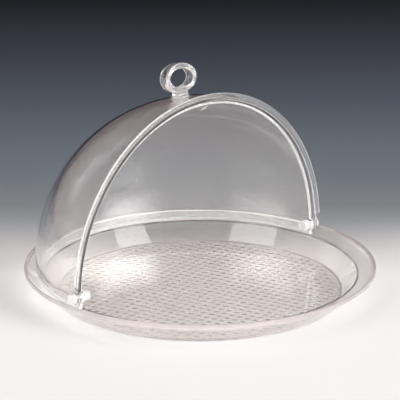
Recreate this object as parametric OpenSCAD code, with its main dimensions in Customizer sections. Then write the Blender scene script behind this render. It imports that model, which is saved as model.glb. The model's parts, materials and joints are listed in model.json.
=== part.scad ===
// Roll-top buffet cover: a round serving tray, a fixed rear quarter dome that
// stands on the tray's ledge, and a front quarter dome that rolls back over it
// on two pivot knobs. Drawn open, with the front dome rolled over the rear one.
// Origin at the middle of the tray's underside, Z up, pivot axis along X,
// open side towards -Y. All lengths in millimetres.

/* [Tray] */
// Outer diameter of the tray at its rim
tray_d = 400; // [360:1:460]
// Height of the rim's top edge above the table
tray_h = 32; // [28:0.5:44]
// Wall thickness of the tray
tray_wall = 3.2; // [2.4:0.1:4.5]
// Thickness of the tray's floor
floor_t = 3; // [2:0.1:5]
// Width of the flared rim outside the ledge
rim_w = 15; // [12:0.5:24]
// Drop from the rim's top edge to the ledge that carries the cover
ledge_drop = 8; // [6:0.5:10]
// Width of the flat ledge
ledge_w = 6; // [5:0.1:8]
// How far the wall leans outwards between the floor and the ledge
wall_run = 15.5; // [10:0.5:24]
// Rounding of the wall where it meets the floor
floor_fillet = 4; // [2:0.5:6]
// Rounding of the tray's lower outside edge
base_round = 5; // [2:0.5:8]

/* [Cover] */
// Wall thickness of the rear dome
rear_wall = 3; // [2:0.1:4]
// Wall thickness of the front dome
front_wall = 2.4; // [1.8:0.1:4]
// Radial room between the two domes
shell_gap = 1.5; // [1.2:0.1:3]
// Height of the pivot axis above the rim's top edge
axis_rise = 4; // [3:0.5:10]
// How far the rear dome's edge stands in front of the pivot axis
rear_lead = 3.4; // [2:0.1:6]
// How far the front dome's flange stands in front of the pivot axis when open
front_lead = 7.7; // [6:0.1:8.5]
// How far the front dome reaches below the pivot axis when open
front_trail = 3.8; // [2:0.1:7]
// Height of the flange above the front dome's surface
flange_out = 5.8; // [3:0.1:7]
// Thickness of that flange
flange_t = 3; // [2:0.1:4]
// Length of the flange that is left off above the pivot axis
flange_cut = 9; // [7.5:0.1:20]
// Inward step of the skirt below the rear dome
skirt_step = 0.8; // [0.4:0.1:1.5]
// Height of the foot bead at the bottom of the skirt
foot_h = 2.8; // [2:0.1:4]
// Width of the finger lug at the crown of the rear dome
lug_w = 20; // [12:1:30]
// Depth of that lug below the dome
lug_depth = 5; // [3:0.5:8]

/* [Pivot] */
// Diameter of the pivot shank
shank_d = 6; // [4:0.5:7]
// Room between the shank and its bores, all round
pin_clearance = 0.05; // [0.02:0.01:0.1]
// Diameter of the knob on the inside
knob_d = 12.4; // [11:0.1:16]
// Length of the knob
knob_l = 9; // [5:0.5:14]
// Diameter of the recess in the knob's face
knob_recess_d = 8; // [5:0.5:9]
// Depth of that recess
knob_recess = 1.4; // [0.6:0.1:3]
// Diameter of the outer cap
cap_d = 11.5; // [9.5:0.1:14]
// Thickness of the outer cap
cap_t = 4.6; // [3.5:0.1:7]
// Thickness of the cap's closed end
cap_end = 1.6; // [1:0.1:2]
// Diameter of the round ears that carry the pivots
ear_d = 14; // [12.5:0.1:15]
// How far the ears stand proud of the domes
ear_proud = 1.6; // [1:0.1:2.4]
// Diameter of the slip washer between the domes
washer_d = 11; // [9:0.5:12]

/* [Handle] */
// Angle of the handle behind the pivot axis when open
handle_angle = 9.7; // [7:0.1:20]
// Outer width of the ring
ring_w = 47; // [40:0.5:60]
// Outer height of the ring
ring_h = 33.6; // [30:0.2:44]
// Thickness of the ring's band, seen from the front
ring_wall = 6.7; // [5:0.1:8]
// Depth of the ring's band, front to back
ring_depth = 13.6; // [11:0.1:16]
// Height of the neck, from the base to the middle of the ring's band
neck_h = 5.8; // [5:0.1:14]
// Width of the neck
neck_w = 17.5; // [12:0.5:19]
// Rounding of the neck's upright corners
neck_round = 4; // [2:0.5:5]
// Diameter of the handle's base collar
base_d = 21; // [20:0.5:30]
// Height of the base collar at its middle
base_h = 2.4; // [2.2:0.1:4]
// Height of the base collar at its edge
base_edge_h = 1.2; // [1:0.1:2]
// Diameter of the spigot that joins the neck to the base
spigot_d = 8; // [5:0.5:10]

/* [Hidden] */

clear_tint = [0.93, 0.90, 0.91, 0.45];
knob_tint = [0.96, 0.95, 0.96, 0.7];

// Facets round small pieces, round the tray and domes, and round the handle's seat
$fn = 96;
large_fn = 160;
seat_fn = 480;

// Rooms and seats between pieces, and how far cutting shapes run past their work
skirt_inset = 0.3;
foot_room = 0.4;
ledge_room = 0.5;
washer_seat = 0.1;
washer_slack = 0.5;
ear_inset = 0.4;
cap_gap = 0.3;
bond_gap = 0.1;
overlap = 1;

// Small roundings
rim_land = 1.4;
rim_round = 0.6;
lip_w = 0.8;
lip_rise = 0.7;
ledge_round = 0.8;
edge_round = 0.8;

// Heights
axis_z = tray_h + axis_rise;
ledge_z = tray_h - ledge_drop;

// Radii from the rim inwards
tray_r = tray_d / 2;
ledge_out_r = tray_r - rim_w;
ledge_in_r = ledge_out_r - ledge_w;
floor_r = ledge_in_r - wall_run;

// Skirt and foot of the rear dome, which stand on the ledge
skirt_in_r = ledge_in_r + ledge_room;
foot_out_r = ledge_out_r - foot_room;

// Dome radii, from the inside out
rear_in_r = skirt_in_r + skirt_step;
rear_out_r = rear_in_r + rear_wall;
skirt_out_r = rear_out_r - skirt_inset;
front_in_r = rear_out_r + shell_gap;
front_out_r = front_in_r + front_wall;
flange_r = front_out_r + flange_out;

// The rim's flare swings about a point above the ledge's outer edge
flare_run = rim_w - rim_land;
flare_r = (flare_run * flare_run + ledge_drop * ledge_drop) / (2 * ledge_drop);
flare_angle = asin(flare_run / flare_r);
flare_under_r = flare_r + tray_wall;
lip_angle = asin((rim_w - lip_w) / flare_under_r);
flare_steps = 10;

// Ears and pivot pieces along X, measured from the middle
rear_ear_in = rear_in_r - ear_proud;
rear_ear_out = rear_out_r - ear_inset;
front_ear_in = front_in_r + ear_inset;
front_ear_out = front_out_r + ear_proud;
washer_in = rear_out_r + washer_seat;
washer_out = front_in_r - washer_slack;
cap_in = front_ear_out + cap_gap;
cap_out = cap_in + cap_t;
shank_end = cap_out - cap_end;
bore_d = shank_d + 2 * pin_clearance;

// Handle
spigot_floor = 0.5;
spigot_l = base_h - bond_gap - spigot_floor;
ring_a = (ring_w - ring_wall) / 2;
ring_b = (ring_h - ring_wall) / 2;
neck_inset = 0.3;
neck_depth = ring_depth - 2 * neck_inset;
ring_steps = 48;
band_steps = 16;
// How square the band's section is: 2 is an ellipse
band_square = 4;

// Size of the cutting blocks, larger than the whole object
big = 4 * tray_d;

// Outline points with rounded corners: each entry is [r, z, rounding]
function unit(v) = v / norm(v);
function corner(before, at, after, round, steps = 5) =
    let (u = unit(before - at),
        w = unit(after - at),
        half = acos(u * w) / 2,
        mid = at + unit(u + w) * round / sin(half),
        start = at + u * round / tan(half) - mid,
        end = at + w * round / tan(half) - mid,
        from = atan2(start.y, start.x),
        turn = (atan2(end.y, end.x) - from + 540) % 360 - 180)
    [for (i = [0:steps]) mid + round * [cos(from + turn * i / steps), sin(from + turn * i / steps)]];
function plane_point(p) = [p[0], p[1]];
function rounded(points) =
    let (n = len(points))
    [for (i = [0:n - 1])
        each points[i][2] == 0
            ? [plane_point(points[i])]
            : corner(plane_point(points[(i + n - 1) % n]), plane_point(points[i]),
                plane_point(points[(i + 1) % n]), points[i][2])];
function flare_point(radius, angle) =
    [ledge_out_r + radius * sin(angle), ledge_z + flare_r - radius * cos(angle), 0];

// Places one copy at each end of the pivot axis: side is 1 for right, -1 for left
module at_pivot(side) {
    translate([0, 0, axis_z])
        mirror([side < 0 ? 1 : 0, 0, 0])
            rotate([0, 90, 0])
                children();
}

// A disc or bar along the pivot axis, between two distances from the middle
module pivot_bar(d, from, to) {
    translate([0, 0, from])
        cylinder(d = d, h = to - from);
}

// Keeps what lies behind the plane at the given Y
module behind(y) {
    intersection() {
        children();
        translate([-big / 2, y, -big / 2])
            cube(big);
    }
}

// Keeps what lies above the given height
module above(z) {
    intersection() {
        children();
        translate([-big / 2, -big / 2, z])
            cube(big);
    }
}

// A hollow ball about the middle of the pivot axis
module ball_shell(outer, inner) {
    translate([0, 0, axis_z])
        difference() {
            sphere(r = outer, $fn = large_fn);
            sphere(r = inner, $fn = large_fn);
        }
}

// A flat ring of the given height, standing on the XY plane
module flat_ring(outer, inner, height) {
    difference() {
        cylinder(r = outer, h = height, $fn = large_fn);
        translate([0, 0, -overlap])
            cylinder(r = inner, h = height + 2 * overlap, $fn = large_fn);
    }
}

// A ring about the tray's upright axis, on the ledge, cut off at the rear dome's edge
module ledge_ring(outer, height) {
    behind(-rear_lead)
        translate([0, 0, ledge_z])
            flat_ring(outer, skirt_in_r, height);
}

// Serving tray: floor, sloping wall, ledge for the cover, and flared rim
module tray() {
    wall_u = unit([wall_run, ledge_z - floor_t]);
    wall_out = tray_wall * [wall_u.y, -wall_u.x];
    wall_slope = wall_u.x / wall_u.y;
    under_z = ledge_z - tray_wall;
    foot_r = floor_r + wall_out.x - (floor_t + wall_out.y) * wall_slope;
    under_r = foot_r + under_z * wall_slope;
    outline = concat(
        [[0, 0, 0],
        [foot_r, 0, base_round],
        [under_r, under_z, ledge_round]],
        [for (i = [0:flare_steps]) flare_point(flare_under_r, lip_angle * i / flare_steps)],
        [[tray_r, flare_point(flare_under_r, lip_angle)[1] + lip_rise, 0],
        [tray_r, tray_h, rim_round],
        [tray_r - rim_land, tray_h, 0]],
        [for (i = [1:flare_steps]) flare_point(flare_r, flare_angle * (1 - i / flare_steps))],
        [[ledge_in_r, ledge_z, ledge_round],
        [floor_r, floor_t, floor_fillet],
        [0, floor_t, 0]]);
    color(clear_tint)
        rotate_extrude($fn = large_fn)
            polygon(rounded(outline));
}

// Finger lug: a shallow round tab at the crown of the rear dome's front edge
module crown_lug() {
    edge_r = sqrt(rear_in_r * rear_in_r - rear_lead * rear_lead);
    lug_r = (lug_w * lug_w / 4 + lug_depth * lug_depth) / (2 * lug_depth);
    intersection() {
        translate([0, -rear_lead, axis_z + edge_r - lug_depth + lug_r])
            rotate([-90, 0, 0])
                cylinder(r = lug_r, h = rear_wall);
        translate([0, 0, axis_z])
            sphere(r = rear_in_r + rear_wall / 2, $fn = large_fn);
    }
}

// Fixed rear dome: a quarter ball on a skirt, with a foot bead and two ears
module rear_shell() {
    color(clear_tint)
        difference() {
            union() {
                behind(-rear_lead)
                    above(axis_z)
                        ball_shell(rear_out_r, rear_in_r);
                ledge_ring(skirt_out_r, axis_z - ledge_z + overlap / 2);
                ledge_ring(foot_out_r, foot_h);
                crown_lug();
                for (side = [-1, 1])
                    at_pivot(side)
                        pivot_bar(ear_d, rear_ear_in, rear_ear_out);
            }
            for (side = [-1, 1])
                at_pivot(side)
                    pivot_bar(bore_d, rear_ear_in - overlap, front_out_r);
        }
}

// Flange round the front dome's leading edge, left off just above the pivots
module front_flange() {
    above(axis_z + flange_cut)
        translate([0, flange_t - front_lead, axis_z])
            rotate([90, 0, 0])
                flat_ring(flange_r, front_in_r + front_wall / 2, flange_t);
}

// Moving front dome, rolled back over the rear one
module front_shell() {
    color(clear_tint)
        difference() {
            union() {
                behind(-front_lead)
                    above(axis_z - front_trail)
                        ball_shell(front_out_r, front_in_r);
                front_flange();
                for (side = [-1, 1])
                    at_pivot(side)
                        pivot_bar(ear_d, front_ear_in, front_ear_out);
            }
            for (side = [-1, 1])
                at_pivot(side)
                    pivot_bar(bore_d, rear_ear_in, cap_out);
        }
}

// Pivot knob: round inner head with a dished face, and the shank through both domes
module pivot_knob(side) {
    knob_in = rear_ear_in - knob_l;
    color(knob_tint)
        at_pivot(side)
            difference() {
                rotate_extrude()
                    polygon(rounded([[0, knob_in, 0],
                        [knob_d / 2, knob_in, edge_round],
                        [knob_d / 2, rear_ear_in, 0],
                        [shank_d / 2, rear_ear_in, 0],
                        [shank_d / 2, shank_end, edge_round],
                        [0, shank_end, 0]]));
                pivot_bar(knob_recess_d, knob_in - overlap, knob_in + knob_recess);
            }
}

// Outer cap, pushed on to the end of the shank
module pivot_cap(side) {
    color(knob_tint)
        at_pivot(side)
            difference() {
                rotate_extrude()
                    polygon(rounded([[0, cap_in, 0],
                        [cap_d / 2, cap_in, 0],
                        [cap_d / 2, cap_out, edge_round],
                        [0, cap_out, 0]]));
                pivot_bar(bore_d, cap_in - overlap, shank_end);
            }
}

// Slip washer on the shank, between the two domes
module slip_washer(side) {
    color(knob_tint)
        at_pivot(side)
            difference() {
                pivot_bar(washer_d, washer_in, washer_out);
                pivot_bar(bore_d, rear_ear_in, cap_out);
            }
}

// Moves its children to the handle's seat on the front dome, Z pointing outwards
module at_handle() {
    translate([0, 0, axis_z])
        rotate([-handle_angle, 0, 0])
            translate([0, 0, front_out_r])
                children();
}

// Base collar, hollowed underneath to sit on the dome
module handle_base() {
    sunk = base_d * base_d / (8 * front_out_r) + overlap;
    color(knob_tint)
        difference() {
            at_handle()
                difference() {
                    rotate_extrude()
                        polygon(rounded([[0, -sunk, 0],
                            [base_d / 2, -sunk, 0],
                            [base_d / 2, base_edge_h, edge_round / 2],
                            [base_d / 2 - base_h + base_edge_h, base_h, 0],
                            [0, base_h, 0]]));
                    translate([0, 0, base_h - spigot_l])
                        cylinder(d = spigot_d + 2 * pin_clearance, h = spigot_l + overlap);
                }
            translate([0, 0, axis_z])
                sphere(r = front_out_r + bond_gap, $fn = seat_fn);
        }
}

// A point on the ring: station i round the oval, place j round the band's section
function squared(c) = sign(c) * pow(abs(c), 2 / band_square);
function ring_point(i, j) =
    let (t = 360 * i / ring_steps,
        u = 360 * j / band_steps,
        out = unit([ring_b * cos(t), ring_a * sin(t)]) * squared(cos(u)) * ring_wall / 2)
    [ring_a * cos(t) + out.x, squared(sin(u)) * ring_depth / 2, ring_b * sin(t) + out.y];
function ring_index(i, j) = (i % ring_steps) * band_steps + j % band_steps;

// The oval ring: a deep band bent into an ellipse that stands upright
module oval_ring() {
    corners = [for (i = [0:ring_steps - 1], j = [0:band_steps - 1]) ring_point(i, j)];
    sides = [for (i = [0:ring_steps - 1], j = [0:band_steps - 1])
        each [
            [ring_index(i, j), ring_index(i + 1, j), ring_index(i + 1, j + 1)],
            [ring_index(i, j), ring_index(i + 1, j + 1), ring_index(i, j + 1)]]];
    polyhedron(corners, sides);
}

// Oval finger ring on its neck, with a spigot into the base collar
module ring_handle() {
    neck = [for (s = [[-1, -1], [1, -1], [1, 1], [-1, 1]])
        [s.x * neck_w / 2, s.y * neck_depth / 2, neck_round]];
    color(knob_tint)
        at_handle() {
            translate([0, 0, base_h + neck_h + ring_b])
                oval_ring();
            translate([0, 0, base_h])
                linear_extrude(neck_h)
                    polygon(rounded(neck));
            translate([0, 0, base_h - spigot_l])
                cylinder(d = spigot_d, h = spigot_l + overlap);
        }
}

tray();
rear_shell();
front_shell();
handle_base();
ring_handle();
pivot_knob(-1);  // pivot_knob_left
pivot_knob(1);  // pivot_knob_right
pivot_cap(-1);  // pivot_cap_left
pivot_cap(1);  // pivot_cap_right
slip_washer(-1);  // slip_washer_left
slip_washer(1);  // slip_washer_right
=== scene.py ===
# Roll-top buffet cover in clear plastic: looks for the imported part, in metres, in the part's own frame.
import json
import math
from contextlib import contextmanager

import bmesh
import bpy
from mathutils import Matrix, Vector


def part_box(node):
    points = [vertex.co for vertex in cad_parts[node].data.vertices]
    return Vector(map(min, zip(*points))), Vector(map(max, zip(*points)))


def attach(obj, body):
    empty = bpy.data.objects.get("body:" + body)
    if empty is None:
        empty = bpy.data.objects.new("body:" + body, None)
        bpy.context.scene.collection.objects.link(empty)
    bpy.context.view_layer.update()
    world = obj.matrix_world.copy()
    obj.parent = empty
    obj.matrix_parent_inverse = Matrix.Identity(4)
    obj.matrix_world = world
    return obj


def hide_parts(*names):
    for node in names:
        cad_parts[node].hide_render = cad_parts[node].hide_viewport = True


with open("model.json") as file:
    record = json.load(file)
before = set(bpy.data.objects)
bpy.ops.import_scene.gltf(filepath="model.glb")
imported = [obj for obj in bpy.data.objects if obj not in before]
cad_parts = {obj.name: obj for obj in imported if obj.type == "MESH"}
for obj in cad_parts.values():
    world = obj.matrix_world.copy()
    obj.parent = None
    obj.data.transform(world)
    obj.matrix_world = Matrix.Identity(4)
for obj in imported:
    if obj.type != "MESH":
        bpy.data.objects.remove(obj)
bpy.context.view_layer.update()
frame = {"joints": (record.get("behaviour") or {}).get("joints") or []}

MM = 0.001

# Heights and radii that the frame gives
TRAY_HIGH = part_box("tray")[1]
REAR_LOW, REAR_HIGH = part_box("rear_shell")
FRONT_LOW, FRONT_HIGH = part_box("front_shell")
ROLL = next(j for j in frame["joints"] if j["name"] == "front_roll")
AXIS_Z = ROLL["pos_m"][2]
TRAY_R = min(TRAY_HIGH.x, TRAY_HIGH.y)
TRAY_H = TRAY_HIGH.z
LEDGE_Z = REAR_LOW.z
FRONT_LEAD = -FRONT_LOW.y
REAR_OUT_R = REAR_HIGH.z - AXIS_Z
FLANGE_R = FRONT_HIGH.z - AXIS_Z

# Tray
TRAY_WALL = 3.2 * MM
FLOOR_T = 3.0 * MM
RIM_W = 15.0 * MM
LEDGE_W = 6.0 * MM
WALL_RUN = 15.5 * MM
FLOOR_FILLET = 1.2 * MM
BASE_ROUND = 5.0 * MM
GROOVE_IN = 2.2 * MM
GROOVE_W = 1.2 * MM
GROOVE_DEPTH = 0.5 * MM
RIM_LAND = 1.4 * MM
RIM_ROUND = 0.6 * MM
LIP_W = 0.8 * MM
LIP_RISE = 0.7 * MM
LEDGE_ROUND = 0.8 * MM
LEDGE_OUT_R = TRAY_R - RIM_W
LEDGE_IN_R = LEDGE_OUT_R - LEDGE_W
FLOOR_R = LEDGE_IN_R - WALL_RUN

# Dimples moulded into the underside of the tray's floor, on a square grid:
# the margin is in grid pitches, and the border is in cells of the mesh
DIMPLE_PITCH = 10.1 * MM
DIMPLE_TURN = math.radians(13.0)
DIMPLE_DEPTH = 0.42 * MM
DIMPLE_R = 3.8 * MM
DIMPLE_POWER = 1.5
DIMPLE_CELLS = 8
DIMPLE_FIELD_R = 161.0 * MM
DIMPLE_GATE_R = 5.0 * MM
DIMPLE_MARGIN = 0.45
DIMPLE_BORDER = 1.5

# Domes
REAR_LEAD = 3.4 * MM
REAR_WALL = 3.0 * MM
FRONT_WALL = 2.4 * MM
FLANGE_T = 3.0 * MM
FLANGE_CUT = 9.0 * MM
FLANGE_LEAST = 0.02
FRONT_TRAIL = 3.8 * MM
SKIRT_STEP = 0.8 * MM
SKIRT_INSET = 0.3 * MM
FOOT_H = 2.8 * MM
FOOT_ROOM = 0.4 * MM
SHELL_GAP = 1.5 * MM
EAR_R = 7.0 * MM
EAR_PROUD = 1.6 * MM
EAR_INSET = 0.4 * MM
EAR_CLEAR = 1.2 * EAR_R
EDGE_ROUND = 0.7 * MM
EDGE_MARGIN = 1.5 * EDGE_ROUND
HIGHLIGHT_STRIP = 2.2 * MM
LUG_W = 20.0 * MM
LUG_DEPTH = 5.0 * MM
LUG_SINK = 0.1 * MM
LUG_BACK = 0.9 * REAR_WALL
REAR_IN_R = REAR_OUT_R - REAR_WALL
FRONT_IN_R = REAR_OUT_R + SHELL_GAP
FRONT_OUT_R = FRONT_IN_R + FRONT_WALL
SKIRT_IN_R = REAR_IN_R - SKIRT_STEP
SKIRT_OUT_R = REAR_OUT_R - SKIRT_INSET
FOOT_OUT_R = LEDGE_OUT_R - FOOT_ROOM
PIVOT_MIDDLE = Vector((0.0, 0.0, AXIS_Z))
LUG_R = (LUG_W * LUG_W / 4 + LUG_DEPTH * LUG_DEPTH) / (2 * LUG_DEPTH)
LUG_Z = AXIS_Z + math.sqrt(REAR_IN_R ** 2 - REAR_LEAD ** 2) - LUG_DEPTH + LUG_R

# Pivots, along the axis from the middle outwards
BORE_R = 3.05 * MM
SHANK_R = 3.0 * MM
KNOB_R = 6.2 * MM
KNOB_L = 9.0 * MM
KNOB_RECESS_R = 4.0 * MM
KNOB_RECESS = 1.4 * MM
CAP_R = 5.75 * MM
CAP_T = 4.6 * MM
CAP_END = 1.6 * MM
CAP_GAP = 0.3 * MM
WASHER_R = 5.5 * MM
WASHER_SEAT = 0.1 * MM
WASHER_SLACK = 0.5 * MM
BOND = 0.05 * MM
KNOB_BACK = REAR_IN_R - EAR_PROUD
CAP_FRONT = FRONT_OUT_R + EAR_PROUD + CAP_GAP
SHANK_END = CAP_FRONT + CAP_T - CAP_END

# Handle, upright on the front dome
HANDLE_TURN = math.radians(9.7)
RING_A = 20.15 * MM
RING_B = 13.45 * MM
RING_WALL = 6.7 * MM
RING_DEPTH = 13.6 * MM
NECK_W = 17.5 * MM
NECK_DEPTH = 13.0 * MM
NECK_H = 5.8 * MM
NECK_FLARE = 2.5 * MM
NECK_PLAIN = 2.0 * MM
COLLAR_R = 10.5 * MM
COLLAR_H = 2.4 * MM
COLLAR_EDGE_H = 1.2 * MM
SPIGOT_R = 4.0 * MM
SOCKET_Z = 0.6 * MM
SEAT_GAP = 0.1 * MM

# Camera of the photograph, in the 400 x 400 frame
VIEW_AZIMUTH = math.radians(-44.0)
VIEW_ELEVATION = math.radians(17.5)
VIEW_DISTANCE = 2.2022
VIEW_TARGET = Vector((0.0, 0.0, 0.106))
VIEW_LENS = 175.5
VIEW_SENSOR = 36.0
VIEW_FAR = 50.0
LOOK = Vector((-math.sin(VIEW_AZIMUTH), math.cos(VIEW_AZIMUTH), 0.0))
SIDE = Vector((math.cos(VIEW_AZIMUTH), math.sin(VIEW_AZIMUTH), 0.0))

# Steps round curves
ROUND_STEPS = 5
TRAY_TURN_STEPS = 360
FLARE_STEPS = 12
DOME_STEPS = 240
ARC_STEPS = 48
BEVEL_STEPS = 3
SMALL_TURN_STEPS = 64
RING_STEPS = 120
BAND_STEPS = 48
NECK_STEPS = 8
BALL_STEPS = 160

# Limits for shading, for welding points and for picking faces by their normals
SHARP_ANGLE = math.radians(40.0)
WELD = 0.001 * MM
SAME_POINT = 1e-7
ON_AXIS = 1e-9
FACING_UP = 0.99
FACING_DOWN = -0.5
FACING_FRONT = -0.6
FACING_IN = -0.9
RING_FACING = 0.45


@contextmanager
def editing(mesh):
    """Opens a mesh for editing, and writes the result back to it."""
    work = bmesh.new()
    work.from_mesh(mesh)
    yield work
    work.to_mesh(mesh)
    work.free()


def soften(mesh):
    """Shades a mesh smooth, with its sharp edges kept."""
    mesh.shade_smooth()
    mesh.set_sharp_from_angle(angle=SHARP_ANGLE)


def rounded(points, steps=ROUND_STEPS):
    """An outline with its corners rounded: each point is (u, v) or (u, v, rounding), and the ends stay."""
    out = []
    for i, point in enumerate(points):
        at = Vector(point[:2])
        size = point[2] if len(point) > 2 else 0.0
        if size == 0.0 or i in (0, len(points) - 1):
            out.append(at)
            continue
        to_last = (Vector(points[i - 1][:2]) - at).normalized()
        to_next = (Vector(points[i + 1][:2]) - at).normalized()
        half = to_last.angle(to_next) / 2
        middle = at + (to_last + to_next).normalized() * size / math.sin(half)
        start = at + to_last * size / math.tan(half) - middle
        end = at + to_next * size / math.tan(half) - middle
        turn = start.angle_signed(end)
        for k in range(steps + 1):
            angle = -turn * k / steps
            cos, sin = math.cos(angle), math.sin(angle)
            out.append(middle + Vector((start.x * cos - start.y * sin, start.x * sin + start.y * cos)))
    return out


def make_object(name, verts, faces, material, smooth=True):
    """A mesh object at the origin, with one material and outward normals."""
    mesh = bpy.data.meshes.new(name)
    mesh.from_pydata([tuple(v) for v in verts], [], faces)
    with editing(mesh) as work:
        bmesh.ops.remove_doubles(work, verts=work.verts, dist=SAME_POINT)
        bmesh.ops.recalc_face_normals(work, faces=work.faces)
    if smooth:
        soften(mesh)
    mesh.materials.append(material)
    obj = bpy.data.objects.new(name, mesh)
    bpy.context.collection.objects.link(obj)
    return obj


def loft_faces(loops, around, closed=False):
    """Quads between neighbouring closed loops of equal length, and from the last to the first if closed."""
    faces = []
    for i in range(loops if closed else loops - 1):
        here, there = i * around, (i + 1) % loops * around
        for j in range(around):
            k = (j + 1) % around
            faces.append((here + j, there + j, there + k, here + k))
    return faces


def capped(loops):
    """Verts and faces of a loft whose first and last loops are closed by flat faces."""
    around = len(loops[0])
    last = (len(loops) - 1) * around
    faces = loft_faces(len(loops), around)
    faces.append(tuple(range(around)))
    faces.append(tuple(last + j for j in reversed(range(around))))
    return [v for loop in loops for v in loop], faces


def turned(outline, steps, place):
    """Verts and faces of a body turned from an outline of (radius, height), each put where place says."""
    verts, faces = [], []
    rings = []
    for radius, height in outline:
        if radius < ON_AXIS:
            rings.append([len(verts)] * steps)
            verts.append(place(0.0, 0.0, height))
            continue
        rings.append(list(range(len(verts), len(verts) + steps)))
        for k in range(steps):
            angle = 2 * math.pi * k / steps
            verts.append(place(radius * math.cos(angle), radius * math.sin(angle), height))
    for low, high in zip(rings, rings[1:]):
        for k in range(steps):
            corners = (low[k], low[(k + 1) % steps], high[(k + 1) % steps], high[k])
            face = tuple(dict.fromkeys(corners))
            if len(face) > 2:
                faces.append(face)
    return verts, faces


def upright(x, y, z):
    """Places a turned body about the tray's own axis."""
    return Vector((x, y, z))


def add_body(piece, body, slot, *nodes):
    """Puts a finished piece on its body, in place of the solids it stands for."""
    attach(piece, body)
    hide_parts(*nodes)


def mark_faces(piece, test, material):
    """Gives the faces whose middle and normal pass the test another finish."""
    piece.data.materials.append(material)
    slot = len(piece.data.materials) - 1
    for face in piece.data.polygons:
        if test(face.center, face.normal):
            face.material_index = slot


# Materials: each clear plastic has two tints that it drifts between, how clear it is (the rest is milky),
# its least and most roughness, and the height of its mould waves

PLASTIC_IOR = 1.585
CLOUD_SCALE = 14.0
CLOUD_DETAIL = 3.0
WIPE_STRETCH = (60.0, 420.0, 180.0)
WIPE_TURN = (0.4, 0.3, 0.9)
WIPE_SCALE = 6.0
WIPE_DETAIL = 4.0
WIPE_FAINT = 0.35
WIPE_STRONG = 0.75
WAVE_SCALE = 38.0
WAVE_DETAIL = 1.0

TRAY_TINTS = ((0.978, 0.955, 0.942), (0.992, 0.978, 0.968))
FLOOR_TINTS = ((0.985, 0.950, 0.932), (1.0, 0.975, 0.960))
DOME_TINTS = ((0.972, 0.958, 0.954), (0.988, 0.978, 0.974))
FITTING_TINTS = ((0.985, 0.970, 0.975), (1.0, 0.992, 0.995))
EDGE_HIGHLIGHT_TINTS = ((0.975, 0.972, 0.974), (0.995, 0.990, 0.992))
BEAD_TINTS = ((0.980, 0.980, 0.975), (1.0, 1.0, 0.995))
RIM_TINTS = ((0.955, 0.840, 0.835), (0.975, 0.895, 0.890))

FITTING_POLISH = (0.0, 0.03)
WALL_POLISH = (0.0, 0.04)
SKIRT_POLISH = (0.0, 0.06)
KNOB_POLISH = (0.02, 0.10)
MILKY_POLISH = (0.02, 0.12)
RIM_SATIN = (0.08, 0.20)
EDGE_SATIN = (0.20, 0.35)

SKIRT_WAVE = 0.005 * MM
UNDERSIDE_WAVE = 0.01 * MM
FLOOR_WAVE = 0.015 * MM
EDGE_WAVE = 0.02 * MM
FITTING_WAVE = 0.03 * MM
WALL_WAVE = 0.04 * MM


def new_material(name):
    """A material with its nodes, their links and its shader."""
    material = bpy.data.materials.new(name)
    material.use_nodes = True
    nodes = material.node_tree.nodes
    return material, nodes, material.node_tree.links, nodes["Principled BSDF"]


def clear_plastic(name, tints, roughness, wave, clearness):
    """Clear moulded plastic: faint uneven tint, soft mould waves and fine wipe marks."""
    material, nodes, links, shader = new_material(name)
    shader.inputs["Transmission Weight"].default_value = clearness
    shader.inputs["IOR"].default_value = PLASTIC_IOR
    coords = nodes.new("ShaderNodeTexCoord")

    cloud = nodes.new("ShaderNodeTexNoise")
    cloud.inputs["Scale"].default_value = CLOUD_SCALE
    cloud.inputs["Detail"].default_value = CLOUD_DETAIL
    links.new(coords.outputs["Object"], cloud.inputs["Vector"])
    tint = nodes.new("ShaderNodeMix")
    tint.data_type = "RGBA"
    tint.inputs["A"].default_value = (*tints[0], 1.0)
    tint.inputs["B"].default_value = (*tints[1], 1.0)
    links.new(cloud.outputs["Fac"], tint.inputs["Factor"])
    links.new(tint.outputs["Result"], shader.inputs["Base Color"])

    wipe_place = nodes.new("ShaderNodeMapping")
    wipe_place.inputs["Scale"].default_value = WIPE_STRETCH
    wipe_place.inputs["Rotation"].default_value = WIPE_TURN
    links.new(coords.outputs["Object"], wipe_place.inputs["Vector"])
    wipe = nodes.new("ShaderNodeTexNoise")
    wipe.inputs["Scale"].default_value = WIPE_SCALE
    wipe.inputs["Detail"].default_value = WIPE_DETAIL
    links.new(wipe_place.outputs["Vector"], wipe.inputs["Vector"])
    rough = nodes.new("ShaderNodeMapRange")
    rough.inputs["From Min"].default_value = WIPE_FAINT
    rough.inputs["From Max"].default_value = WIPE_STRONG
    rough.inputs["To Min"].default_value = roughness[0]
    rough.inputs["To Max"].default_value = roughness[1]
    links.new(wipe.outputs["Fac"], rough.inputs["Value"])
    links.new(rough.outputs["Result"], shader.inputs["Roughness"])

    waves = nodes.new("ShaderNodeTexNoise")
    waves.inputs["Scale"].default_value = WAVE_SCALE
    waves.inputs["Detail"].default_value = WAVE_DETAIL
    links.new(coords.outputs["Object"], waves.inputs["Vector"])
    bump = nodes.new("ShaderNodeBump")
    bump.inputs["Strength"].default_value = 1.0
    bump.inputs["Distance"].default_value = wave
    links.new(waves.outputs["Fac"], bump.inputs["Height"])
    links.new(bump.outputs["Normal"], shader.inputs["Normal"])

    return material


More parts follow.
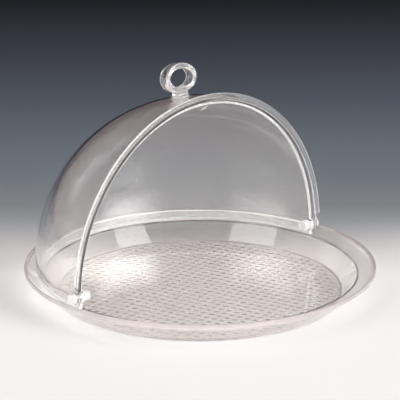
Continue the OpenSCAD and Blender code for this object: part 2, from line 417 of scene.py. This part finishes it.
MOULDING = clear_plastic("clear_moulding", TRAY_TINTS, WALL_POLISH, WALL_WAVE, clearness=0.96)
# The floor top's milky wear is also painted light: its haze lifts the floor's brightness where the light
# through the tray is missing
WORN_FLOOR_PAINTED_LIGHT = clear_plastic("worn_floor", FLOOR_TINTS, WALL_POLISH, FLOOR_WAVE, clearness=0.74)
DIMPLED = clear_plastic("dimpled_underside", FLOOR_TINTS, WALL_POLISH, UNDERSIDE_WAVE, clearness=0.995)
DOME = clear_plastic("clear_dome", DOME_TINTS, WALL_POLISH, WALL_WAVE, clearness=0.988)
# The rear dome's hollow side is made milkier as painted light: it brightens the inside where the lamps'
# reflections fall
INSIDE_PAINTED_LIGHT = clear_plastic("fogged_inside", DOME_TINTS, WALL_POLISH, WALL_WAVE, clearness=0.925)
FITTING = clear_plastic("clear_fitting", FITTING_TINTS, FITTING_POLISH, FITTING_WAVE, clearness=0.97)
KNOB = clear_plastic("clear_knob", FITTING_TINTS, KNOB_POLISH, FITTING_WAVE, clearness=0.50)
# The milky edge finish is a painted highlight: near-white frosting stands in for the bright lines that
# reflections draw along the domes' edges
EDGE_HIGHLIGHT = clear_plastic("moulded_edge", EDGE_HIGHLIGHT_TINTS, EDGE_SATIN, EDGE_WAVE, clearness=0.48)
BEAD = clear_plastic("moulded_bead", BEAD_TINTS, EDGE_SATIN, EDGE_WAVE, clearness=0.25)
SKIRT = clear_plastic("moulded_skirt", BEAD_TINTS, SKIRT_POLISH, SKIRT_WAVE, clearness=0.80)
FLANGE = clear_plastic("moulded_flange", FITTING_TINTS, WALL_POLISH, EDGE_WAVE, clearness=0.94)
MILKY = clear_plastic("milky_fitting", FITTING_TINTS, MILKY_POLISH, FITTING_WAVE, clearness=0.84)
RIM_EDGE = clear_plastic("rim_edge", RIM_TINTS, RIM_SATIN, EDGE_WAVE, clearness=0.60)


# Tray: floor with dimples underneath, sloping wall, ledge and flared rim

def flare_point(radius, swing, angle):
    """A point on the rim's flare, which swings about a centre above the ledge's outer edge."""
    return (LEDGE_OUT_R + radius * math.sin(angle), LEDGE_Z + swing - radius * math.cos(angle))


def tray_outline():
    """The tray's section from the dimples' border round the outside and back to the middle of the floor."""
    drop = TRAY_H - LEDGE_Z
    run = RIM_W - RIM_LAND
    swing = (run * run + drop * drop) / (2 * drop)
    flare = math.asin(run / swing)
    under = swing + TRAY_WALL
    lip = math.asin((RIM_W - LIP_W) / under)
    lip_z = flare_point(under, swing, lip)[1] + LIP_RISE
    lean = Vector((WALL_RUN, LEDGE_Z - FLOOR_T)).normalized()
    slope = lean.x / lean.y
    foot_r = FLOOR_R + TRAY_WALL * lean.y - (FLOOR_T - TRAY_WALL * lean.x) * slope
    under_z = LEDGE_Z - TRAY_WALL
    groove_r = FLOOR_R - GROOVE_IN
    groove_z = FLOOR_T - GROOVE_DEPTH

    points = [(DIMPLE_FIELD_R, 0.0), (foot_r, 0.0, BASE_ROUND)]
    points += [(foot_r + under_z * slope, under_z, LEDGE_ROUND)]
    points += [flare_point(under, swing, lip * i / FLARE_STEPS) for i in range(FLARE_STEPS + 1)]
    points += [(TRAY_R, lip_z), (TRAY_R, TRAY_H, RIM_ROUND), (TRAY_R - RIM_LAND, TRAY_H, RIM_ROUND / 2)]
    points += [flare_point(swing, swing, flare * (1 - i / FLARE_STEPS)) for i in range(1, FLARE_STEPS + 1)]
    points += [(LEDGE_IN_R, LEDGE_Z, LEDGE_ROUND), (FLOOR_R, FLOOR_T, FLOOR_FILLET)]
    points += [(groove_r, FLOOR_T), (groove_r - GROOVE_DEPTH, groove_z), (groove_r - GROOVE_W, groove_z)]
    points += [(groove_r - GROOVE_W - GROOVE_DEPTH, FLOOR_T), (0.0, FLOOR_T)]
    return rounded(points)


def smooth_step(value, low, high):
    """0 below the low value, 1 above the high one, and a smooth rise between them."""
    t = min(max((value - low) / (high - low), 0.0), 1.0)
    return t * t * (3 - 2 * t)


def dimple_height(u, v):
    """Height of the floor's underside above the table, at a place in grid pitches."""
    near = Vector((u - round(u), v - round(v)))
    centre = Vector((round(u), round(v))) * DIMPLE_PITCH
    if not DIMPLE_GATE_R < centre.length < DIMPLE_FIELD_R - DIMPLE_PITCH * DIMPLE_MARGIN:
        return 0.0
    rest = 1 - (near.length * DIMPLE_PITCH / DIMPLE_R) ** 2
    return DIMPLE_DEPTH * max(rest, 0.0) ** DIMPLE_POWER


def dimple_grid():
    """Verts and faces of the dimpled field, with a stepped border inside the flat ring round it."""
    reach = int(DIMPLE_FIELD_R / DIMPLE_PITCH * DIMPLE_CELLS)
    cos, sin = math.cos(DIMPLE_TURN), math.sin(DIMPLE_TURN)
    limit = DIMPLE_FIELD_R - DIMPLE_BORDER * DIMPLE_PITCH / DIMPLE_CELLS
    index, verts, faces = {}, [], []

    def corner(i, j):
        if (i, j) not in index:
            u, v = i / DIMPLE_CELLS, j / DIMPLE_CELLS
            x, y = (u * cos - v * sin) * DIMPLE_PITCH, (u * sin + v * cos) * DIMPLE_PITCH
            index[i, j] = len(verts)
            verts.append(Vector((x, y, dimple_height(u, v))))
        return index[i, j]

    for i in range(-reach, reach):
        for j in range(-reach, reach):
            far = math.hypot(max(abs(i), abs(i + 1)), max(abs(j), abs(j + 1)))
            if far * DIMPLE_PITCH / DIMPLE_CELLS < limit:
                faces.append((corner(i, j), corner(i, j + 1), corner(i + 1, j + 1), corner(i + 1, j)))
    return verts, faces


def close_flat_strip(piece):
    """Fills the flat strip between the two open borders of a mesh."""
    with editing(piece.data) as work:
        border = [edge for edge in work.edges if edge.is_boundary]
        bmesh.ops.triangle_fill(work, use_beauty=True, use_dissolve=False, edges=border)
        bmesh.ops.recalc_face_normals(work, faces=work.faces)
    soften(piece.data)


def is_rim_edge(c, n):
    """Picks the land and the outer edge of the tray's rim."""
    return math.hypot(c.x, c.y) > TRAY_R - RIM_LAND


def is_floor_top(c, n):
    """Picks the flat top of the tray's floor."""
    return n.z > FACING_UP and c.z < FLOOR_T + MM


def is_underside(c, n):
    """Picks the dimpled field under the tray's floor."""
    return n.z < FACING_DOWN and math.hypot(c.x, c.y) < DIMPLE_FIELD_R


def build_tray():
    """The tray: a turned body whose underside is closed by the dimpled field."""
    verts, faces = turned(tray_outline(), TRAY_TURN_STEPS, upright)
    grid_verts, grid_faces = dimple_grid()
    start = len(verts)
    faces += [tuple(start + k for k in face) for face in grid_faces]
    tray = make_object("serving_tray", verts + grid_verts, faces, MOULDING)
    close_flat_strip(tray)
    mark_faces(tray, is_rim_edge, RIM_EDGE)
    mark_faces(tray, is_floor_top, WORN_FLOOR_PAINTED_LIGHT)
    mark_faces(tray, is_underside, DIMPLED)
    add_body(tray, "tray", "clear_moulding", "tray")


# Domes: each is turned whole from its section and then cut flat

def arc_points(radius, start, end):
    """Points round an arc between two angles from its pole, as distances from the axis and along it."""
    turns = [start + (end - start) * k / ARC_STEPS for k in range(ARC_STEPS + 1)]
    return [(radius * math.sin(turn), radius * math.cos(turn)) for turn in turns]


def rear_outline():
    """The rear dome's section: from the crown's inside round the skirt and bead to the crown's outside."""
    small = EDGE_ROUND / 2
    foot_top = LEDGE_Z + FOOT_H
    inner = [(r, AXIS_Z + h) for r, h in arc_points(REAR_IN_R, 0.0, math.acos(small / REAR_IN_R))]
    outer = [(r, AXIS_Z + h) for r, h in arc_points(REAR_OUT_R, math.pi / 2, 0.0)]
    skirt = [(SKIRT_IN_R, AXIS_Z, small), (SKIRT_IN_R, LEDGE_Z, small), (FOOT_OUT_R, LEDGE_Z, small),
             (FOOT_OUT_R, foot_top, EDGE_ROUND), (SKIRT_OUT_R, foot_top, small),
             (SKIRT_OUT_R, AXIS_Z - SKIRT_INSET)]
    return rounded(inner + skirt + outer)


def front_outline():
    """The front dome's section: from the back's inside round the flange to the back's outside."""
    lead, back = -FRONT_LEAD, FLANGE_T - FRONT_LEAD
    wall_in = math.sqrt(FRONT_IN_R ** 2 - lead ** 2)
    wall_out = math.sqrt(FRONT_OUT_R ** 2 - back ** 2)
    inner = arc_points(FRONT_IN_R, 0.0, math.acos((lead + EDGE_MARGIN) / FRONT_IN_R))
    outer = arc_points(FRONT_OUT_R, math.acos((back + EDGE_MARGIN) / FRONT_OUT_R), 0.0)
    flange = [(wall_in, lead, EDGE_ROUND), (FRONT_OUT_R, lead), (FLANGE_R, lead, EDGE_ROUND),
              (FLANGE_R, back, EDGE_ROUND), (wall_out, back, EDGE_ROUND)]
    return rounded(inner + flange + outer)


def front_place(x, y, z):
    """Stands the front dome's section about the front-to-back axis, without its flange near the pivots."""
    reach = math.hypot(x, y)
    if reach > FRONT_OUT_R:
        rise = smooth_step(y / reach * FLANGE_R, FLANGE_CUT, FLANGE_CUT + FLANGE_T)
        grow = (FRONT_OUT_R + (reach - FRONT_OUT_R) * max(rise, FLANGE_LEAST)) / reach
        x, y = x * grow, y * grow
    return Vector((x, z, AXIS_Z + y))


def cut_flat(piece, place, normal, is_soft):
    """Cuts off the normal's side of a plane, closes the cut and rounds its edges where asked."""
    with editing(piece.data) as work:
        everything = work.verts[:] + work.edges[:] + work.faces[:]
        cut = bmesh.ops.bisect_plane(work, geom=everything, plane_co=place, plane_no=normal, clear_outer=True)
        border = [part for part in cut["geom_cut"] if isinstance(part, bmesh.types.BMEdge)]
        bmesh.ops.edgeloop_fill(work, edges=border)
        soft = [edge for edge in border if is_soft((edge.verts[0].co + edge.verts[1].co) / 2)]
        bmesh.ops.bevel(work, geom=soft, offset=EDGE_ROUND, segments=BEVEL_STEPS, profile=0.5, affect="EDGES")
        bmesh.ops.recalc_face_normals(work, faces=work.faces)


def score_strip(piece, place, normal):
    """Adds an edge loop where a plane meets the mesh, so that a strip can take another finish."""
    with editing(piece.data) as work:
        everything = work.verts[:] + work.edges[:] + work.faces[:]
        bmesh.ops.bisect_plane(work, geom=everything, plane_co=place, plane_no=normal)


def combine(piece, other, operation):
    """Joins or cuts one closed mesh with another, and removes the second."""
    change = piece.modifiers.new(operation.lower(), "BOOLEAN")
    change.operation = operation
    change.solver = "EXACT"
    change.object = other
    shape = bpy.data.meshes.new_from_object(piece.evaluated_get(bpy.context.evaluated_depsgraph_get()))
    piece.modifiers.clear()
    with editing(shape) as work:
        bmesh.ops.remove_doubles(work, verts=work.verts, dist=WELD)
        bmesh.ops.collapse(work, edges=[edge for edge in work.edges if len(edge.link_faces) > 2])
    old = piece.data
    piece.data = shape
    bpy.data.meshes.remove(old)
    bpy.data.objects.remove(other)


def pivot_piece(name, outline, side, material):
    """A body turned about the pivot axis at one side: its own height runs outwards."""
    def place(x, y, z):
        return Vector((side * z, x, AXIS_Z + y))

    return make_object(name, *turned(rounded(outline), SMALL_TURN_STEPS, place), material)


def add_ears(dome, inner, outer):
    """Joins a round ear to each side of a dome, and bores it for the shank."""
    disc = [(0, inner), (EAR_R, inner, EDGE_ROUND), (EAR_R, outer, EDGE_ROUND), (0, outer)]
    hole = [(0, inner - MM), (BORE_R, inner - MM), (BORE_R, outer + MM), (0, outer + MM)]
    for side in (-1, 1):
        combine(dome, pivot_piece("ear", disc, side, DOME), "UNION")
        combine(dome, pivot_piece("bore", hole, side, DOME), "DIFFERENCE")


def add_lug(dome):
    """Joins the finger lug, a slice of a disc that ends inside the wall, to the crown of the rear dome."""
    front, back = LUG_SINK - REAR_LEAD, LUG_BACK - REAR_LEAD
    disc = rounded([(0, front), (LUG_R, front, EDGE_ROUND), (LUG_R, back, EDGE_ROUND), (0, back)])
    verts, faces = turned(disc, SMALL_TURN_STEPS, lambda x, y, z: Vector((x, z, LUG_Z + y)))
    lug = make_object("lug", verts, faces, DOME)
    ball_r = REAR_IN_R + REAR_WALL / 2
    turns = [math.pi * k / BALL_STEPS for k in range(BALL_STEPS + 1)]
    arc = [(ball_r * math.sin(t), -ball_r * math.cos(t)) for t in turns]
    verts, faces = turned(arc, BALL_STEPS, lambda x, y, z: PIVOT_MIDDLE + Vector((x, y, z)))
    ball = make_object("ball", verts, faces, DOME)
    combine(lug, ball, "INTERSECT")
    combine(dome, lug, "UNION")


def is_front_edge(c, n):
    """Picks the front dome's wall edge, the flange's outer rim and the lower back edge, which take the
    painted highlight.
    """
    reach = math.hypot(c.x, c.z - AXIS_Z)
    if reach > FLANGE_R - EDGE_ROUND / 2:
        return True
    if c.y < EDGE_ROUND / 2 - FRONT_LEAD:
        return reach < FRONT_IN_R + EDGE_ROUND
    return n.z < FACING_DOWN and c.z < AXIS_Z - FRONT_TRAIL + EDGE_ROUND / 2


def is_flange(c, n):
    """Picks the flange round the front dome's leading edge."""
    return (c - PIVOT_MIDDLE).length > FRONT_OUT_R + EDGE_ROUND and c.z > AXIS_Z + FLANGE_CUT


def is_inside(c, n):
    """Picks the hollow side of the rear dome."""
    return n.dot((c - PIVOT_MIDDLE).normalized()) < FACING_IN


def is_rear_edge(c, n):
    """Picks the rear dome's front edge with a strip of its inside, and the rim of its lug, which take the
    painted highlight.
    """
    out = c - PIVOT_MIDDLE
    from_lug = math.hypot(c.x, c.z - LUG_Z)
    if n.y < FACING_FRONT and c.y < LUG_SINK / 2 - REAR_LEAD:
        return True
    if c.y < HIGHLIGHT_STRIP - REAR_LEAD and out.length < REAR_IN_R + EDGE_ROUND and c.z > AXIS_Z + EAR_R:
        return n.dot(out) < 0 and from_lug > LUG_R
    if c.y < 0 and c.z > LUG_Z - LUG_R - MM:
        return abs(c.x) < LUG_R and from_lug > LUG_R - EDGE_ROUND
    return False


def is_rear_bead(c, n):
    """Picks the step over the rear dome's skirt and its foot bead."""
    if c.z < LEDGE_Z + FOOT_H + EDGE_ROUND / 2:
        return True
    return c.y > EAR_R and abs(c.z - AXIS_Z) < EDGE_ROUND


def is_skirt(c, n):
    """Picks the rear dome's skirt between its step and its foot bead."""
    return c.y > EAR_R and LEDGE_Z + FOOT_H + EDGE_ROUND / 2 < c.z < AXIS_Z - EDGE_ROUND


def build_rear_dome():
    """The fixed rear quarter dome, with its ears and its lug."""
    rear = make_object("rear_dome", *turned(rear_outline(), DOME_STEPS, upright), DOME)
    cut_flat(rear, (0.0, -REAR_LEAD, 0.0), (0.0, -1.0, 0.0), lambda c: c.z > AXIS_Z + EAR_CLEAR)
    add_ears(rear, REAR_IN_R - EAR_PROUD, REAR_OUT_R - EAR_INSET)
    add_lug(rear)
    # A strip inside the rear dome's front edge is scored so that it takes the painted highlight
    score_strip(rear, (0.0, HIGHLIGHT_STRIP - REAR_LEAD, 0.0), (0.0, 1.0, 0.0))
    soften(rear.data)
    mark_faces(rear, is_inside, INSIDE_PAINTED_LIGHT)
    mark_faces(rear, is_rear_edge, EDGE_HIGHLIGHT)
    mark_faces(rear, is_rear_bead, BEAD)
    mark_faces(rear, is_skirt, SKIRT)
    add_body(rear, "rear_cover", "clear_moulding", "rear_shell")


def build_front_dome():
    """The front quarter dome that rolls back, with its flange and its ears."""
    front = make_object("front_dome", *turned(front_outline(), DOME_STEPS, front_place), DOME)
    cut_flat(front, (0.0, 0.0, AXIS_Z - FRONT_TRAIL), (0.0, 0.0, -1.0), lambda c: c.y > EAR_CLEAR)
    add_ears(front, FRONT_IN_R + EAR_INSET, FRONT_OUT_R + EAR_PROUD)
    soften(front.data)
    mark_faces(front, is_flange, FLANGE)
    mark_faces(front, is_front_edge, EDGE_HIGHLIGHT)
    add_body(front, "front_cover", "clear_moulding", "front_shell")


# Pivots: a knob with its shank, a washer and a cap at each side

def build_pivots():
    """The pieces of both pivots, each turned from its section."""
    soft = EDGE_ROUND / 2
    knob_front = KNOB_BACK - KNOB_L
    knob = [(0, knob_front + KNOB_RECESS), (KNOB_RECESS_R, knob_front + KNOB_RECESS, soft),
            (KNOB_RECESS_R, knob_front, soft), (KNOB_R, knob_front, EDGE_ROUND),
            (KNOB_R, KNOB_BACK - BOND, soft), (SHANK_R, KNOB_BACK - BOND),
            (SHANK_R, SHANK_END, EDGE_ROUND), (0, SHANK_END)]
    cap = [(0, SHANK_END + BOND), (BORE_R, SHANK_END + BOND), (BORE_R, CAP_FRONT), (CAP_R, CAP_FRONT, soft),
           (CAP_R, CAP_FRONT + CAP_T, EDGE_ROUND), (0, CAP_FRONT + CAP_T)]
    washer_in, washer_out = REAR_OUT_R + WASHER_SEAT, FRONT_IN_R - WASHER_SLACK
    washer = [(BORE_R, washer_out), (BORE_R, washer_in), (WASHER_R, washer_in), (WASHER_R, washer_out),
              (BORE_R, washer_out)]
    for side, word in ((-1, "left"), (1, "right")):
        for name, outline, node in (("knob", knob, "pivot_knob_"), ("cap", cap, "pivot_cap_"),
                                    ("washer", washer, "slip_washer_")):
            piece = pivot_piece(word + "_" + name, outline, side, KNOB)
            add_body(piece, "rear_cover", "clear_fitting", node + word)


# Handle: an oval ring on a flared neck, and the collar that it stands in

def at_handle(x, y, z):
    """Places a point of the handle, whose Z runs outwards from the front dome's surface."""
    out = FRONT_OUT_R + z
    cos, sin = math.cos(HANDLE_TURN), math.sin(HANDLE_TURN)
    return Vector((x, y * cos + out * sin, AXIS_Z + out * cos - y * sin))


def squarish(steps):
    """Points round a square of half-width 1 with fully rounded corners."""
    points = []
    for k in range(steps):
        cos, sin = math.cos(2 * math.pi * k / steps), math.sin(2 * math.pi * k / steps)
        reach = (cos ** 4 + sin ** 4) ** -0.25
        points.append((reach * cos, reach * sin))
    return points


def make_band():
    """The oval ring by itself: a squarish band swept round an ellipse."""
    middle = COLLAR_H + NECK_H + RING_B
    loops = []
    for i in range(RING_STEPS):
        cos, sin = math.cos(2 * math.pi * i / RING_STEPS), math.sin(2 * math.pi * i / RING_STEPS)
        out = Vector((RING_B * cos, RING_A * sin)).normalized() * RING_WALL / 2
        across, up = RING_A * cos, middle + RING_B * sin
        loops.append([at_handle(across + out.x * p, q * RING_DEPTH / 2, up + out.y * p)
                      for p, q in squarish(BAND_STEPS)])
    verts = [v for loop in loops for v in loop]
    return make_object("handle_ring", verts, loft_faces(RING_STEPS, BAND_STEPS, closed=True), FITTING)


def make_neck():
    """The neck under the ring: straight at first, and flared where it meets the ring."""
    flare_z = COLLAR_H + NECK_PLAIN
    heights = [COLLAR_H + BOND, flare_z]
    heights += [flare_z + NECK_FLARE * math.sin(math.pi / 2 * k / NECK_STEPS) for k in range(1, NECK_STEPS)]
    heights.append(COLLAR_H + NECK_H)
    loops = []
    for z in heights:
        rise = min(max(z - COLLAR_H - NECK_PLAIN, 0.0) / NECK_FLARE, 1.0)
        wide = NECK_W / 2 + NECK_FLARE * (1 - math.sqrt(1 - rise * rise))
        loops.append([at_handle(p * wide, q * NECK_DEPTH / 2, z) for p, q in squarish(BAND_STEPS)])
    return make_object("neck", *capped(loops), FITTING)


def make_spigot():
    """The peg under the neck, which stands in the collar's socket."""
    low, high = SOCKET_Z + BOND, COLLAR_H + NECK_PLAIN / 2
    peg = [(0, low), (SPIGOT_R, low, EDGE_ROUND / 2), (SPIGOT_R, high), (0, high)]
    return make_object("spigot", *turned(rounded(peg), SMALL_TURN_STEPS, at_handle), FITTING)


def build_ring():
    """The handle in one piece: ring, neck and spigot, milky on the ring's broad faces and on the neck."""
    ring = make_band()
    combine(ring, make_neck(), "UNION")
    combine(ring, make_spigot(), "UNION")
    soften(ring.data)
    along = at_handle(0.0, 1.0, 0.0) - at_handle(0.0, 0.0, 0.0)
    neck_top = at_handle(0.0, 0.0, COLLAR_H + NECK_H).z
    mark_faces(ring, lambda c, n: abs(n.dot(along)) > RING_FACING or c.z < neck_top, MILKY)
    add_body(ring, "front_cover", "clear_fitting", "ring_handle")


def build_collar():
    """The collar under the handle, hollowed to sit on the front dome."""
    seat_r = FRONT_OUT_R + SEAT_GAP
    seat = []
    for k in range(ROUND_STEPS + 1):
        radius = COLLAR_R * k / ROUND_STEPS
        seat.append((radius, math.sqrt(seat_r ** 2 - radius ** 2) - FRONT_OUT_R))
    shoulder = COLLAR_R - COLLAR_H + COLLAR_EDGE_H
    outline = seat + [(COLLAR_R, COLLAR_EDGE_H, EDGE_ROUND / 2), (shoulder, COLLAR_H, EDGE_ROUND / 4),
                      (SPIGOT_R + BOND, COLLAR_H), (SPIGOT_R + BOND, SOCKET_Z), (0, SOCKET_Z)]
    collar = make_object("handle_collar", *turned(rounded(outline), SMALL_TURN_STEPS, at_handle), MILKY)
    add_body(collar, "front_cover", "clear_fitting", "handle_base")


# Stage, lights and camera: tones are linear colours at a reach along the camera's level look; the floor's
# tones are painted light falloff, lit pale in front and painted shade behind

FLOOR_SIZE = 14.0
FLOOR_DROP = 0.3 * MM
FLOOR_ROUGHNESS = 0.9
# Floor colours are painted light falloff on a white floor: lit in front, painted shade further back
FLOOR_PAINTED_FALLOFF = ((-0.10, (0.89, 0.87, 0.86)), (0.05, (0.885, 0.87, 0.85)), (0.135, (0.75, 0.73, 0.72)),
               (0.25, (0.36, 0.37, 0.39)), (0.315, (0.255, 0.265, 0.285)), (0.45, (0.18, 0.205, 0.23)),
               (0.86, (0.096, 0.111, 0.135)), (1.13, (0.062, 0.068, 0.086)), (1.65, (0.018, 0.019, 0.024)))
ROOM_TONES = ((-0.4, (0.14, 0.137, 0.137)), (0.8, (0.14, 0.115, 0.12)))
BOX_DISTANCE = 4.5
BOX_STEP = 0.02
BOX_GROWTH = (0.5, 0.72, 0.94, 1.16, 1.38)
LIGHT_BOUNCES = 32
GLOSSY_BOUNCES = 16
DIFFUSE_BOUNCES = 4


def ramp_along_look(tree, source, low, high, blend, tones):
    """A colour ramp between two reaches of a texture vector along the camera's level look."""
    nodes, links = tree.nodes, tree.links
    coords = nodes.new("ShaderNodeTexCoord")
    reach = nodes.new("ShaderNodeVectorMath")
    reach.operation = "DOT_PRODUCT"
    reach.inputs[1].default_value = LOOK
    links.new(coords.outputs[source], reach.inputs[0])
    scale = nodes.new("ShaderNodeMapRange")
    scale.inputs["From Min"].default_value = low
    scale.inputs["From Max"].default_value = high
    links.new(reach.outputs["Value"], scale.inputs["Value"])
    ramp = nodes.new("ShaderNodeValToRGB")
    ramp.color_ramp.interpolation = blend
    while len(ramp.color_ramp.elements) < len(tones):
        ramp.color_ramp.elements.new(1.0)
    for stop, (place, tone) in zip(ramp.color_ramp.elements, tones):
        stop.position = (place - low) / (high - low)
        stop.color = (*tone, 1.0)
    links.new(scale.outputs["Result"], ramp.inputs["Fac"])
    return ramp.outputs["Color"]


def build_floor():
    """A white floor with painted light falloff: painted lit and pale in front, fading to painted dark grey
    shade behind.
    """
    half = FLOOR_SIZE / 2
    corners = [(x, y, -FLOOR_DROP) for x, y in ((-half, -half), (half, -half), (half, half), (-half, half))]
    material, nodes, links, shader = new_material("studio_floor")
    shader.inputs["Roughness"].default_value = FLOOR_ROUGHNESS
    shader.inputs["Specular IOR Level"].default_value = 0.0
    nearest, farthest = FLOOR_PAINTED_FALLOFF[0][0], FLOOR_PAINTED_FALLOFF[-1][0]
    tone = ramp_along_look(material.node_tree, "Object", nearest, farthest, "LINEAR", FLOOR_PAINTED_FALLOFF)
    links.new(tone, shader.inputs["Base Color"])
    floor = make_object("studio_floor", corners, [(0, 1, 2, 3)], material, smooth=False)


def build_world():
    """Soft even room light, a little rosier behind the object."""
    world = bpy.data.worlds.new("soft_room")
    bpy.context.scene.world = world
    world.use_nodes = True
    tree = world.node_tree
    tone = ramp_along_look(tree, "Generated", -1.0, 1.0, "EASE", ROOM_TONES)
    tree.links.new(tone, tree.nodes["Background"].inputs["Color"])


def add_softbox(name, angle, distance, width, low, high, radiance):
    """An upright even area lamp between two heights, at an angle in degrees to the right of the camera."""
    turn = math.radians(angle)
    away = SIDE * math.sin(turn) - LOOK * math.cos(turn)
    lamp = bpy.data.lights.new(name, "AREA")
    lamp.shape = "RECTANGLE"
    lamp.size = width
    lamp.size_y = high - low
    lamp.energy = radiance * math.pi * lamp.size * lamp.size_y
    obj = bpy.data.objects.new(name, lamp)
    obj.location = away * distance + Vector((0.0, 0.0, (low + high) / 2))
    obj.rotation_euler = (-away).to_track_quat("-Z", "Y").to_euler()
    obj.visible_camera = False
    bpy.context.collection.objects.link(obj)


def add_soft_edged_box(name, angle, distance, width, low, high, radiance):
    """A softbox whose light falls off towards its edges: even boxes of growing size, one behind the other."""
    middle, half = (low + high) / 2, (high - low) / 2
    for k, grow in enumerate(BOX_GROWTH):
        add_softbox(name + str(k), angle, distance + k * BOX_STEP, width * grow,
                    middle - half * grow, middle + half * grow, radiance / len(BOX_GROWTH))


def build_lights():
    """Two high softboxes, and two lower ones with soft edges, all on the camera's side."""
    add_softbox("right_box", 68.7, BOX_DISTANCE, width=3.00, low=3.61, high=6.60, radiance=4.5)
    add_softbox("left_box", -54.6, BOX_DISTANCE, width=4.20, low=4.19, high=8.00, radiance=3.6)
    add_soft_edged_box("right_low_box", 57.0, BOX_DISTANCE, width=3.40, low=0.70, high=2.95, radiance=10.9)
    add_soft_edged_box("left_low_box", -48.9, BOX_DISTANCE, width=3.40, low=0.70, high=2.95, radiance=8.8)


def build_camera():
    """The camera at the photograph's angle."""
    camera = bpy.data.cameras.new("camera")
    camera.lens = VIEW_LENS
    camera.sensor_width = VIEW_SENSOR
    camera.clip_end = VIEW_FAR
    obj = bpy.data.objects.new("camera", camera)
    back = -LOOK * math.cos(VIEW_ELEVATION) + Vector((0.0, 0.0, math.sin(VIEW_ELEVATION)))
    obj.location = VIEW_TARGET + back * VIEW_DISTANCE
    obj.rotation_euler = back.to_track_quat("Z", "Y").to_euler()
    bpy.context.collection.objects.link(obj)
    bpy.context.scene.camera = obj


build_camera()
build_tray()
build_rear_dome()
build_front_dome()
build_pivots()
build_ring()
build_collar()
build_floor()
build_world()
build_lights()

scene = bpy.context.scene
scene.view_settings.view_transform = "Standard"
scene.cycles.max_bounces = LIGHT_BOUNCES
scene.cycles.transmission_bounces = LIGHT_BOUNCES
scene.cycles.glossy_bounces = GLOSSY_BOUNCES
scene.cycles.diffuse_bounces = DIFFUSE_BOUNCES
scene.cycles.blur_glossy = 0.0
